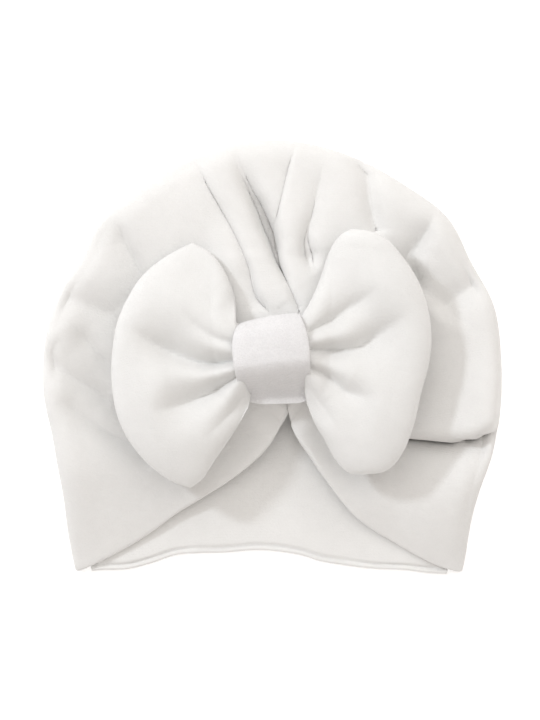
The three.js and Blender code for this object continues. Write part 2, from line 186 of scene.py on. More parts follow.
# Heights of the cloth at which spots of the photograph are read
FOLD_AT, GATHERED_AT, HEM_AT, BACK_AT = 20, 26, 8, 1
LOOP_AT, SEAM_AT, CREASE_AT, KNOT_AT = 36, 38, 44, 36


class Fold(NamedTuple):
    """A fold of the front, along a few spots of the photograph. One value holds all along its path, and a
    list of values runs along it."""

    path: list
    depth: list | float  # of its valley
    left: list | float  # how wide the cloth falls into it, on the left of the way its path runs
    right: list | float  # and on the right
    fade: tuple  # shares of the path over which its two ends die out
    lips: float  # how round its lips are
    gape: list | float = 0  # half the width of its open bottom
    step: float = 0  # how much higher its left side stands
    crisp: float = 2.5  # half the width of that step
    lap: float = 0  # how far the cloth reaches over the valley: from the left if positive


FOLDS = [
    # from the top of the hat down to the knot
    Fold(
        path=[
            (184, 140), (198, 164), (211, 189), (223, 210), (234, 230), (243, 250), (250, 268), (253, 283),
            (258, 298), (272, 315),
        ],
        depth=[1.5, 2, 2.6, 2.8, 3, 3, 3.4, 4.4, 4, 3],
        gape=[0, 0, 0, 0, 0.1, 0.1, 0.2, 0.5, 0.3, 0],
        left=[4, 2, 0.9, 0.9],
        right=[6, 4, 2.4, 2.4],
        step=1.2,
        crisp=1.2,
        fade=(0.25, 0.02),
        lips=0.3,
    ),
    Fold(
        path=[
            (226, 140), (238, 164), (250, 189), (259, 206), (266, 223), (273, 241), (278, 262), (288, 284),
            (300, 312),
        ],
        depth=[3, 5, 8, 11, 12.5, 11.5, 8, 5, 4],
        gape=[0.7, 1.0, 1.5, 2.2, 2.6, 2.3, 1.1, 0.3, 0],
        left=[5, 2, 0.8, 0.8],
        right=[5, 2, 1.0, 1.0],
        fade=(0.3, 0.02),
        lips=0.3,
    ),
    Fold(
        path=[(300, 140), (292, 164), (286, 189), (281, 212), (277.5, 236), (278, 258)],
        depth=1.6,
        left=4,
        right=[4, 1.2, 1.0],
        step=3.0,
        crisp=0.9,
        fade=(0.35, 0.1),
        lips=0.3,
    ),
    Fold(
        path=[(330, 150), (322, 172), (317, 192), (312, 214), (306, 238), (309, 256), (315, 276)],
        depth=[1.5, 2.5, 3.6, 5, 5, 5.5, 4],
        gape=[0, 0, 0, 0, 0.9, 2.2, 0.2],
        left=[8, 7, 7, 5.5, 2.5, 1.2, 1.2],
        right=[6, 5, 5, 3.5, 2, 1.2, 1.2],
        fade=(0.35, 0.14),
        lips=0.8,
    ),
    Fold(
        path=[(350, 136), (360, 160), (368, 182), (370.5, 200), (374, 218), (378, 237)],
        depth=[2, 3.6, 5, 5.8, 6, 4.5],
        gape=[0, 0.2, 0.6, 0.9, 0.8, 0],
        left=[5, 2.8, 2.0],
        right=[5, 3.6, 2.4],
        fade=(0.35, 0.05),
        lips=1.1,
    ),
    # down the right side
    Fold(
        path=[(434, 205), (428, 228), (418, 245), (409, 262), (418, 282), (428, 300)],
        depth=[1.4, 4.2, 6.4, 6.6, 5.6, 3.5],
        gape=[0, 0.2, 1.0, 1.6, 1.2, 0],
        left=2.2,
        right=5,
        fade=(0.3, 0.2),
        lips=0.7,
    ),
    Fold(
        path=[(489, 270), (475, 284), (462, 294), (448, 304), (436, 318)],
        depth=[3.2, 6.4, 7.6, 7.2, 5],
        left=5.5,
        right=7,
        fade=(0.25, 0.25),
        lips=2.6,
    ),
    # the ledge that hangs over the right flap; its path starts beyond the hat
    Fold(
        path=[(545, 420), (506, 425), (490, 430), (470, 436), (445, 438), (408, 436), (370, 438)],
        depth=6,
        left=11,
        right=1.1,
        step=-11,
        crisp=0.9,
        lap=-1.2,
        fade=(0.1, 0.15),
        lips=0.6,
    ),
    # down the left side
    Fold(
        path=[(117, 200), (119.5, 215), (122, 235), (133, 258), (143, 278), (152, 292)],
        depth=[1.4, 3.4, 5.2, 6, 6, 5],
        left=2.6,
        right=8,
        fade=(0.4, 0.1),
        lips=1.6,
    ),
    Fold(
        path=[(50, 291), (66, 299), (85, 303), (105, 312), (140, 330)],
        depth=5.6,
        left=8,
        right=8,
        fade=(0.15, 0.1),
        lips=3.0,
    ),
    Fold(
        path=[(66, 325), (82, 338), (102, 360), (125, 375)],
        depth=[2.4, 4.2, 5.4, 4.5],
        left=4,
        right=6,
        fade=(0.3, 0.1),
        lips=1.5,
    ),
    Fold(
        path=[(38, 353), (46, 360), (60, 371), (76, 381), (92, 391), (109, 402), (150, 425)],
        depth=[4, 6, 7, 7.5, 8, 8.5, 7],
        left=7,
        right=4,
        fade=(0.06, 0.1),
        lips=1.8,
    ),
    Fold(
        path=[(45, 385), (60, 401), (89, 423), (110, 437), (132, 447), (160, 462)],
        depth=[1.6, 3.2, 4.8, 6, 6.5, 6],
        left=6,
        right=4,
        fade=(0.25, 0.1),
        lips=1.2,
    ),
    # on the two flaps
    Fold(
        path=[(262, 424), (240, 450), (215, 468), (180, 490), (140, 512)],
        depth=3.0,
        left=9,
        right=6,
        fade=(0.15, 0.6),
        lips=2.0,
    ),
    Fold(
        path=[(302, 420), (330, 455), (358, 482), (385, 500)],
        depth=2.6,
        left=9,
        right=7,
        fade=(0.2, 0.5),
        lips=2.0,
    ),
]
STEP_REACH, LAP_REACH = 22.0, 5.0  # how far from a fold its step dies out, and its lap


def along_path(x, y, path):
    """For each place: signed distance to a path (positive on its left), the share of the path that is
    nearest, and the direction to its left."""
    line = curve_through(path, 28)
    run = run_along(line)
    best = np.full(x.shape, 1e9)
    side = np.zeros(x.shape)
    share = np.zeros(x.shape)
    leftward = np.zeros((2,) + x.shape)
    for i in range(len(line) - 1):
        ax, ay = line[i]
        dx, dy = line[i + 1] - line[i]
        length = math.hypot(dx, dy)
        t = np.clip(((x - ax) * dx + (y - ay) * dy) / length**2, 0, 1)
        ox, oy = x - ax - t * dx, y - ay - t * dy
        far = np.hypot(ox, oy)
        near = far < best
        best = np.where(near, far, best)
        side = np.where(near, np.sign(dx * oy - dy * ox), side)
        share = np.where(near, (run[i] + t * length) / run[-1], share)
        left = np.array([-dy / length, dx / length]).reshape((2,) + (1,) * x.ndim)
        leftward = np.where(near, left, leftward)
    return best * side, share, leftward


def fold_ends(fold, share):
    """1 along a fold, and 0 at its two ends."""
    start, end = fold.fade
    return smooth(0, start, share) * (1 - smooth(1 - end, 1, share))


def at_share(values, share):
    """What one value, or a list of them, comes to at shares of a path."""
    values = np.atleast_1d(np.asarray(values, float))
    return np.interp(share, np.linspace(0, 1, len(values)), values)


def fold_height(fold, x, y):
    """How much one fold raises the front at each place, or lowers it."""
    t, share, _ = along_path(x, y, plan(fold.path, FOLD_AT))
    width = np.where(t > 0, at_share(fold.left, share), at_share(fold.right, share))
    beside = np.maximum(0, np.abs(t) - at_share(fold.gape, share))
    valley = np.exp(-(np.sqrt(beside**2 + fold.lips**2) - fold.lips) / width)
    step = fold.step * (smooth(-fold.crisp, fold.crisp, t) - 0.5) * np.exp(-np.abs(t) / STEP_REACH)
    return fold_ends(fold, share) * (step - at_share(fold.depth, share) * valley)


def lap_over(x, y):
    """Moves the cloth beside a fold over it, so that its edge stands over the valley."""
    moved_x, moved_y = x.copy(), y.copy()
    for fold in FOLDS:
        if fold.lap:
            t, share, leftward = along_path(x, y, plan(fold.path, FOLD_AT))
            t = t * np.sign(fold.lap)
            pushed = smooth(-0.6, 0.6, t) * np.exp(-np.maximum(t, 0) / LAP_REACH)
            push = fold.lap * fold_ends(fold, share) * pushed
            moved_x -= leftward[0] * push
            moved_y -= leftward[1] * push
    return moved_x, moved_y


def outline_reach(turn):
    """The outline's share of the ellipse. Between the two corners it is a straight line across the hat."""
    turned = LAST_TURN + np.mod(turn - LAST_TURN, 360)
    on_line = np.interp(turned, outline_line[:, 0], outline_line[:, 1])
    below = LOWER_EDGE / np.maximum(0.3, np.abs(np.sin(np.radians(turned))))
    return np.where(turned <= FIRST_TURN, on_line, below)


def outline_place(turn):
    """Places on the surface at the hat's widest, so that the outline is right once the cloth has its wall."""
    reach = outline_reach(turn)
    wide, long = HALF_WIDTH - PINCH, HALF_LENGTH - PINCH
    return wide * reach * np.cos(np.radians(turn)), long * reach * np.sin(np.radians(turn)) + SHIFT_Y


def section(column, y):
    """A column of SECTIONS at places along the hat."""
    return np.interp((y - SHIFT_Y) / HALF_LENGTH, section_line[:, 0], section_line[:, column])


def seat_share(x, y):
    """1 on the gathered cloth under the knot, and 0 away from it."""
    across = np.abs(x - KNOT_X) / (KNOT_WIDTH / 2)
    along = y - KNOT_Y - SHIFT_Y
    along = np.abs(along) / np.where(along > 0, SEAT_ABOVE, SEAT_BELOW)
    return 1 - smooth(0.9, 2.3, (across**3 + along**3) ** (1 / 3))


def front_height(x, y, folded=True):
    """Height of the front's cloth, with its folds or without them."""
    yy = y - SHIFT_Y
    turn = np.degrees(np.arctan2(yy / HALF_LENGTH, x / HALF_WIDTH))
    outward = np.hypot(x / HALF_WIDTH, yy / HALF_LENGTH) / outline_reach(turn)
    rim, edge, floor = section(1, y), section(2, y), section(3, y)
    # the fold along the side starts closer to the middle on the flaps
    low = mix(0.6, 0.15, smooth(-0.25, -0.7, yy / HALF_LENGTH))
    front = floor + (rim - floor) * np.clip((outward - low) / (CREST - low), 0, 1) ** 1.25
    t, share, _ = along_path(x, y, plan(GATHERED, GATHERED_AT))
    front = front + GATHERED_RISE * bell(t, GATHERED_WIDTH) * smooth(0, 0.5, share)
    height = edge + (front - edge) * arc(np.maximum(0, (outward - (1 - ROLL_OVER)) / ROLL_OVER), 2.1)
    height = mix(height, SEAT, seat_share(x, y))
    if folded:
        # the folds die out at the side and under the knot
        across, along = (x - KNOT_X) / UNDER_KNOT[0], (yy - KNOT_Y) / UNDER_KNOT[1]
        beyond = (np.abs(across) ** 3 + np.abs(along) ** 3) ** (1 / 3)
        inside = (1 - smooth(0.95, 1, outward)) * smooth(0.95, 1.2, beyond)
        folds = sum(fold_height(fold, x, y) for fold in FOLDS)
        height = height + (folds + 0.5 * wander(x, y, 34, 5)) * inside
    return height


# The crown's grid, and its edges
FRONT_ROWS, ROLL_ROWS, BACK_ROWS = 96, 14, 16
CROWN_COLUMNS = 330
COLUMNS_TO_TOP = 0.075  # how far the columns move towards the top of the hat, where most folds are
ROWS_TO_SIDE = 1.25  # how much closer the front's rows stand near the side
HEM_PULL = 0.13  # how far round the hat the free hems bend its columns
PINCH = 1.5  # how far the front's outer face stands out from the surface its folds are laid out on
RIM = [0.0, 0.12, 0.45, 1.0]  # rows of the cloth's rounded edge, as shares of its width
RIM_WIDTH = 1.3
HEM_FULLNESS = 1.6  # how much thicker the front's hems are, where they are folded double
STITCH_LINE = 2.2  # how far the stitches lie from the back's hem
STITCH_DEPTH = 1.5
# More rows of the back, close to its hem and its line of stitches, as shares of the way down
BACK_TAIL = [0.942, 0.952, 0.959, 0.964, 0.969, 0.974, 0.98, 0.986, 0.991, 0.995, 0.998, 0.9993, 1.0]


def on_curve(curve, share):
    """Places at shares of a curve."""
    at = np.linspace(0, 1, len(curve))
    return [np.interp(share, at, curve[:, 0]), np.interp(share, at, curve[:, 1])]


def front_sheet(way, side_x, side_y):
    """The front from the gather to the hat's side, and the height of its last row."""
    out = (1 - (1 - np.linspace(0, 1, FRONT_ROWS)) ** ROWS_TO_SIDE)[None, :]
    angle = np.radians(mix(*GATHER_TURNS, way))
    gather_x = GATHER[0] + GATHER_RADIUS * np.cos(angle)
    gather_y = GATHER[1] + GATHER_RADIUS * np.sin(angle) + SHIFT_Y
    x, y = mix(gather_x, side_x, out), mix(gather_y, side_y, out)
    for spots, column, near in ((LEFT_HEM, 0, bell(way, HEM_PULL)), (RIGHT_HEM, -1, bell(1 - way, HEM_PULL))):
        hem_x, hem_y = on_curve(curve_through(plan(spots, HEM_AT), 200), out)
        x = x + near * (hem_x - x[column][None, :])
        y = y + near * (hem_y - y[column][None, :])
    # the side keeps its outline, whatever the hems ask for
    keep = smooth(0.8, 1, out)
    x, y = mix(x, side_x, keep), mix(y, side_y, keep)
    z = front_height(x, y)
    # beside each hem the cloth comes to the hem's own height; the right hem starts under the left one
    hem_z = np.interp(out, HEM_HEIGHT[:, 0], HEM_HEIGHT[:, 1])
    for column, reach, under in ((0, LEFT_HEM_REACH, 0.0), (-1, RIGHT_HEM_REACH, RIGHT_UNDER_LEFT)):
        away = np.hypot(x - x[column][None, :], y - y[column][None, :])
        lower = under * (1 - smooth(0.1, 0.2, out))
        z = z + (hem_z - lower - z) * np.exp(-away / mix(NOTCH_REACH, reach, smooth(0.02, 0.2, out)))
    z = z - PINCH
    rim_z = z[:, -1:]
    lapped = 1 - smooth(0.85, 1, out)
    lap_x, lap_y = lap_over(x, y)
    return mix(x, lap_x, lapped), mix(y, lap_y, lapped), z, rim_z


def crown_surface():
    """The surface of the crown's cloth as a grid [column, row, xyz], from the gather over the front, round
    the side, to the back's hem."""
    even = np.linspace(0, 1, CROWN_COLUMNS)
    way = (even + COLUMNS_TO_TOP * np.sin(2 * np.pi * even))[:, None]
    side_x, side_y = outline_place(mix(FIRST_TURN, LAST_TURN, way))
    x, y, z, rim_z = front_sheet(way, side_x, side_y)
    # the rolled side
    foot = SIDE_ROLL * np.clip(section(2, side_y) / FULL_EDGE, 0.25, 1)
    far = np.hypot(side_x, side_y)
    foot_x, foot_y = side_x * (1 - foot / far), side_y * (1 - foot / far)
    bend = np.linspace(0, np.pi / 2, ROLL_ROWS + 1)[None, 1:]
    roll_x, roll_y = mix(side_x, foot_x, 1 - np.cos(bend)), mix(side_y, foot_y, 1 - np.cos(bend))
    roll_z = rim_z * (1 - np.sin(bend))
    # the flat back
    hem_x, hem_y = on_curve(curve_through(plan(BACK_HEM, BACK_AT), 400), way[:, 0])
    evenly = np.linspace(0, 1, BACK_ROWS)[1:] * 0.93
    down = np.concatenate([evenly, BACK_TAIL])[None, :]
    back_x, back_y = mix(foot_x, hem_x[:, None], down), mix(foot_y, hem_y[:, None], down)
    sheets = ((x, roll_x, back_x), (y, roll_y, back_y), (z, roll_z, np.zeros_like(back_x)))
    return np.stack([np.hstack(sheet) for sheet in sheets], -1)


def grid_normals(grid):
    """Which way the cloth's outer face looks at each corner of the grid."""
    n = np.cross(np.gradient(grid, axis=0), np.gradient(grid, axis=1))
    return n / np.maximum(np.linalg.norm(n, axis=-1, keepdims=True), 1e-9)


def add_rims(grid):
    """Rows and columns close behind the free edges, so that the cloth's edge can be rounded."""

    def behind(edge, inner):
        step = inner - edge
        length = np.maximum(np.linalg.norm(step, axis=-1, keepdims=True), 1e-6)
        reach = np.minimum(RIM_WIDTH, 0.8 * length)
        return [edge + step / length * reach * share for share in RIM]

    first, last = behind(grid[0], grid[1]), behind(grid[-1], grid[-2])
    grid = np.concatenate([np.stack(first), grid[1:-1], np.stack(last[::-1])], 0)
    first = behind(grid[:, 0], grid[:, 1])
    return np.concatenate([np.stack(first, 1), grid[:, 1:]], 1)


def distance_to_edges(grid):
    """How far each corner of the grid lies along the cloth from the left, right, gather and hem edges."""
    step_a = np.linalg.norm(np.diff(grid, axis=0), axis=-1)
    step_b = np.linalg.norm(np.diff(grid, axis=1), axis=-1)
    zero_a, zero_b = np.zeros((1, grid.shape[1])), np.zeros((grid.shape[0], 1))
    left = np.concatenate([zero_a, np.cumsum(step_a, 0)])
    top = np.concatenate([zero_b, np.cumsum(step_b, 1)], 1)
    return left, left[-1:] - left, top, top[:, -1:] - top


def wrapped_grid(name, faces, merge_within=1e-7):
    """A closed piece from a grid of quads wrapped through faces[i, j, xyz], its doubles merged."""
    count_a, count_b = faces.shape[:2]
    bm = bmesh.new()
    bmesh.ops.create_grid(bm, x_segments=count_a - 1, y_segments=count_b - 1, size=0.5)
    for vertex in bm.verts:
        i = round((vertex.co.x + 0.5) * (count_a - 1))
        j = round((vertex.co.y + 0.5) * (count_b - 1))
        vertex.co = faces[i, j] / 1000
    bmesh.ops.remove_doubles(bm, verts=bm.verts, dist=merge_within)
    bmesh.ops.dissolve_degenerate(bm, dist=1e-8, edges=bm.edges)
    bmesh.ops.recalc_face_normals(bm, faces=bm.faces)
    mesh = bpy.data.meshes.new(name)
    bm.to_mesh(mesh)
    bm.free()
    mesh.shade_smooth()
    piece = bpy.data.objects.new(name, mesh)
    bpy.context.scene.collection.objects.link(piece)
    return piece


def give_knit_map(piece, rise):
    """A UV map in metres for the knit, laid on the piece from above. rise: how much of its height counts."""
    mesh = piece.data
    places = np.empty(len(mesh.vertices) * 3)
    mesh.vertices.foreach_get("co", places)
    places = places.reshape(-1, 3)
    uv = np.column_stack([places[:, 0], places[:, 1] + places[:, 2] * rise])
    corner = np.empty(len(mesh.loops), dtype=np.int32)
    mesh.loops.foreach_get("vertex_index", corner)
    layer = mesh.uv_layers.new(name="knit")
    layer.data.foreach_set("uv", uv[corner].ravel())


def make_crown():
    """The hat itself: one wall of cloth, open at the hem and at the notch between its two flaps."""
    grid = add_rims(crown_surface())
    normal = grid_normals(grid)
    left, right, top, hem = distance_to_edges(grid)
    row = np.arange(grid.shape[1])
    front_end = FRONT_ROWS + len(RIM)
    side = np.minimum(left, right)
    thick = WALL + HEM_FULLNESS * bell(side - 3, 5) * (row < front_end)[None, :] * smooth(0, 10, top)
    # a row of stitches sinks a shallow line beside the back's hem
    thick = thick - STITCH_DEPTH * bell(hem - STITCH_LINE, 0.6)
    edge = np.minimum(side, np.minimum(top, hem))
    rounded = np.sqrt(np.clip(1 - (1 - np.clip(edge / RIM_WIDTH, 0, 1)) ** 2, 0, 1))
    pinch = PINCH * (1 - smooth(0, ROLL_ROWS, row - front_end))[None, :]
    outer = grid + normal * (pinch - (thick * (1 - rounded)) / 2)[..., None]
    inner = grid + normal * (pinch - (thick * (1 + rounded)) / 2)[..., None]
    outer[..., 2] = np.maximum(outer[..., 2], 0)
    inner[..., 2] = np.maximum(inner[..., 2], 0.2)
    piece = wrapped_grid("turban_crown", np.concatenate([outer, inner[:, ::-1][:, 1:]], 1))
    give_knit_map(piece, 0.4)
    return piece


# Each loop of the bow: its outer edge from the top seam's corner to the bottom one's, and its two seams from
# the knot
LOOPS = {
    "left": dict(
        outer=[
            (191, 241), (163, 256), (140, 276), (125, 300), (115, 325), (110, 360), (111, 392), (117, 420),
            (130, 445), (148, 466), (170, 482), (190, 489),
        ],
        top=[(236, 322), (234, 296), (224, 270), (210, 252), (191, 241)],
        bottom=[(248, 408), (233, 434), (214, 462), (202, 480), (190, 489)],
    ),
    "right": dict(
        outer=[
            (352, 228), (372, 231), (390, 241), (406, 260), (419, 281), (428, 306), (432, 333), (430, 362),
            (422, 392), (415, 423), (404, 452), (388, 471), (362, 476),
        ],
        top=[(302, 315), (311, 300), (321, 276), (330, 250), (340, 235), (352, 228)],
        bottom=[(307, 404), (315, 424), (325, 441), (336, 461), (348, 473), (362, 476)],
    ),
}


class Crease(NamedTuple):
    """A crease of a loop, along a few spots of the photograph from the knot outwards."""

    depth: float
    wide: float  # at the knot's end
    grow: float  # how many times wider it is at its outer end
    lean: float  # how much steeper one of its sides is
    path: list


CREASES = {
    "left": [
        Crease(10, 3.8, 2.8, 1.5, [(234, 361), (212, 364), (193, 361), (165, 350), (135, 333), (120, 325)]),
        Crease(9, 3.6, 3.0, 1.2, [(235, 378), (222, 386), (203, 397), (175, 407), (148, 410)]),
        Crease(3.2, 4.0, 2.6, 0, [(233, 343), (218, 339), (203, 331), (184, 314), (172, 296)]),
        Crease(2.4, 4.0, 2.4, 0, [(243, 398), (232, 412), (216, 428), (196, 446)]),
    ],
    "right": [
        Crease(5.5, 3.2, 2.8, 0.8, [(310, 331), (333, 319), (349, 307.5), (363, 299), (382, 284)]),
        Crease(8, 3.6, 3.2, 1.5, [(311, 349), (332, 350), (353, 349), (368, 342.5), (388, 328), (416, 310)]),
        Crease(6.5, 3.4, 3.0, 1.0, [(311, 368), (325.5, 375), (338, 384), (350, 393), (383, 400)]),
        Crease(2.0, 4.0, 2.4, 0, [(309, 388), (320, 402), (335, 424), (350, 445)]),
    ],
}
BOW_LOFT = 15.0  # how far a loop swells above its seam
BOW_BACK = 4.5  # and below it
WAIST_HALF = 5.9
BAND_WALL = 3.0  # of the knot, folded cloth on cloth
GAP = 0.35  # between the knot and what it holds
WAIST_MIDDLE = SEAT + GAP + BAND_WALL + GAP + WAIST_HALF + 0.1
OVER_CLOTH = 2.0  # how high the loops lie over the smooth front
LOWER_SEAM_DROP = 6.0  # how much lower than the upper one the lower seam leaves the knot
RIGHT_EDGE_LIFT = 4.0  # how far the right loop's outer edge stands up
LOOP_STEPS, SEAM_STEPS, WAIST_STEPS = 84, 120, 12
SEAM_SAMPLES = 160


def loop_plan(loop, u, v):
    """Places of one loop: u from the knot to the outer edge, v from the top seam to the bottom one."""
    at = np.linspace(0, 1, SEAM_SAMPLES)
    outer = curve_through(plan(loop["outer"], LOOP_AT), SEAM_SAMPLES)
    top = curve_through(plan(loop["top"], SEAM_AT), SEAM_SAMPLES)
    bottom = curve_through(plan(loop["bottom"], SEAM_AT), SEAM_SAMPLES)
    out = []
    for k in range(2):
        o = np.interp(v, at, outer[:, k])
        t = np.interp(u, at, top[:, k])
        b = np.interp(u, at, bottom[:, k])
        knot = mix(top[0, k], bottom[0, k], v)
        corner = (1 - u) * knot + u * o
        seams = mix(t, b, v) - mix(mix(top[0, k], top[-1, k], u), mix(bottom[0, k], bottom[-1, k], u), v)
        out.append(corner + seams)
    return out


def crease_depth(name, x, y):
    """How deep a loop's creases are at each place. Where they meet, the deepest counts most."""
    total = np.zeros_like(x)
    for crease in CREASES[name]:
        t, share, _ = along_path(x, y, plan(crease.path, CREASE_AT))
        width = crease.wide * mix(0.26, crease.grow, share**0.75)
        t = t + crease.lean * np.abs(t) / 6
        fade = (1 - smooth(0.5, 1.05, share)) * (1 - 0.2 * share)
        total += (crease.depth * 1.5 * fade * np.exp(-(np.sqrt(t**2 + 0.12) - 0.35) / width)) ** 2
    return np.sqrt(total)


def loop_skin(name, u, v):
    """The upper and the under face of one loop of the bow."""
    x, y = loop_plan(LOOPS[name], u, v)
    grown = smooth(0, 0.42, u)
    swell = arc(2 * v - 1, 2.2) * arc(u, 3.0)
    crease = crease_depth(name, x, y) * mix(0.3, 1, smooth(0, 0.28, u))
    rest = front_height(x, y, folded=False) + OVER_CLOTH
    at_knot = WAIST_MIDDLE - LOWER_SEAM_DROP * smooth(0.62, 1, v)
    seam = mix(at_knot, np.maximum(rest + BOW_BACK, WAIST_MIDDLE * 0.78) + 1.2, grown)
    if name == "left":
        # its upper seam lies close to the cloth
        seam = mix(seam, rest + 1.2, (1 - smooth(0, 0.3, v)) * smooth(0.05, 0.3, u))
    else:
        # its outer edge stands well clear
        seam = seam + RIGHT_EDGE_LIFT * smooth(0.5, 1, u) * (1 - np.abs(2 * v - 1) ** 4)
    waist = WAIST_HALF * (1 - 0.75 * smooth(0.45, 0.95, v))
    thick = mix(waist, BOW_LOFT, grown)
    deep = mix(WAIST_HALF, BOW_BACK, grown)
    uneven = 0.7 * wander(x, y, 38, 11) * grown
    upper = seam + (thick + uneven) * swell - crease * np.minimum(swell * 1.3, 1)
    under = np.maximum(seam - deep * swell, np.where(u > 0.02, rest - 1.4, 0))
    under = np.minimum(under, seam)
    # it keeps some thickness in its creases, and its two faces meet along the outer edge
    least = np.minimum(under + 2.0, seam + 1.0) - seam
    upper = np.maximum(upper, seam + least * np.minimum(1, 8 * (1 - u)))
    return np.stack([x, y, upper], -1), np.stack([x, y, under], -1)


def make_bow():
    """One padded pouch: the left loop, the waist under the knot and the right loop."""
    u = 1 - (1 - np.linspace(0, 1, LOOP_STEPS)) ** 1.25
    v = 0.5 - 0.5 * np.cos(np.pi * np.linspace(0, 1, SEAM_STEPS))
    sides = []
    for name, run in (("left", u[::-1]), ("right", u)):
        upper, under = loop_skin(name, *np.meshgrid(run, v, indexing="ij"))
        sides.append(np.concatenate([upper, under[:, ::-1][:, 1:]], 1))
    left, right = sides
    middle = np.linspace(0, 1, WAIST_STEPS + 2)[1:-1, None, None]
    waist = left[-1][None] * (1 - middle) + right[0][None] * middle
    # it is drawn together under the knot
    highest = waist[..., 1].max(axis=1, keepdims=True)
    hidden = arc(2 * middle[..., 0] - 1, 3)
    waist[..., 1] = highest + (waist[..., 1] - highest) * (1 - 0.36 * hidden) - 2.0 * hidden
    faces = np.concatenate([left, waist, right], 0)
    # the closing row is the opening one
    faces[:, -1] = faces[:, 0] = (faces[:, 0] + faces[:, -1]) / 2
    piece = wrapped_grid("turban_bow", faces, merge_within=2e-6)
    give_knit_map(piece, 0.5)
    return piece


# The knot's two side edges, from its top fold to its bottom one
KNOT_LEFT = [(238, 322), (233, 338), (232.5, 352), (234.5, 368), (239, 387), (245, 398), (250.5, 405)]
KNOT_RIGHT = [(298, 311), (304, 325), (308, 340), (309.5, 356), (310, 374), (309, 390), (307, 404)]
KNOT_TURNS, KNOT_ROUNDS = 201, 81
KNOT_SAMPLES = 120
KNOT_SLACK = 2.2  # how much higher the band is than the waist in it
KNOT_PUFF = 1.1  # how far its cloth swells in the middle of its width
LOWER_FALL, UPPER_TUCK = 0.93, 0.08  # shares of its height that its lower half loses, and its upper end


def flat_wave(wave, power):
    """A sine or cosine with its tops made flatter."""
    return np.sign(wave) * np.abs(wave) ** power


def make_knot():
    """A closed band of cloth round the bow's waist."""
    bottom = SEAT + GAP
    top = bottom + 2 * BAND_WALL + 2 * WAIST_HALF + KNOT_SLACK
    middle, rise = (top + bottom) / 2, (top - bottom) / 2
    west = curve_through(plan(KNOT_LEFT, KNOT_AT), KNOT_SAMPLES)
    east = curve_through(plan(KNOT_RIGHT, KNOT_AT), KNOT_SAMPLES)
    turns, rounds = np.linspace(0, 2 * np.pi, KNOT_TURNS), np.linspace(0, 2 * np.pi, KNOT_ROUNDS)
    # turn goes once along the band, and wall_turn once round the section of its wall
    turn, wall_turn = np.meshgrid(turns, rounds, indexing="ij")
    forward, lifted = flat_wave(np.cos(turn), 0.9), flat_wave(np.sin(turn), 0.9)
    across, raised = flat_wave(np.cos(wall_turn), 0.7), np.sin(wall_turn)
    puff = KNOT_PUFF * (1 - across**2) + 0.3 * wander(across * 14, forward * 20, 17, 3)
    inset = BAND_WALL * (0.5 - 0.5 * raised) - np.where(raised > 0, puff * np.maximum(0, lifted), 0)
    # down the band: 0 at its top fold, 1 at its bottom one
    down = np.clip((1 - forward * (1 - inset / 19)) / 2, 0, 1)
    west_x, west_y = on_curve(west, down)
    east_x, east_y = on_curve(east, down)
    share = (across + 1) / 2
    z = middle + (rise - inset) * lifted
    # its lower half falls away to the cloth below it, and its upper end is tucked
    fall = LOWER_FALL * smooth(0.5, 0.98, down)
    z = bottom + (z - bottom) * (1 - fall - UPPER_TUCK * smooth(0.14, 0, down))
    faces = np.stack([mix(west_x, east_x, share), mix(west_y, east_y, share), z], -1)
    faces[-1] = faces[0]
    faces[:, -1] = faces[:, 0]
    piece = wrapped_grid("turban_knot", faces)
    give_knit_map(piece, -1)
    return piece


def add_socket(group, kind, name, value=None, way="INPUT"):
    socket = group.interface.new_socket(name=name, in_out=way, socket_type=kind)
    if value is not None:
        socket.default_value = value


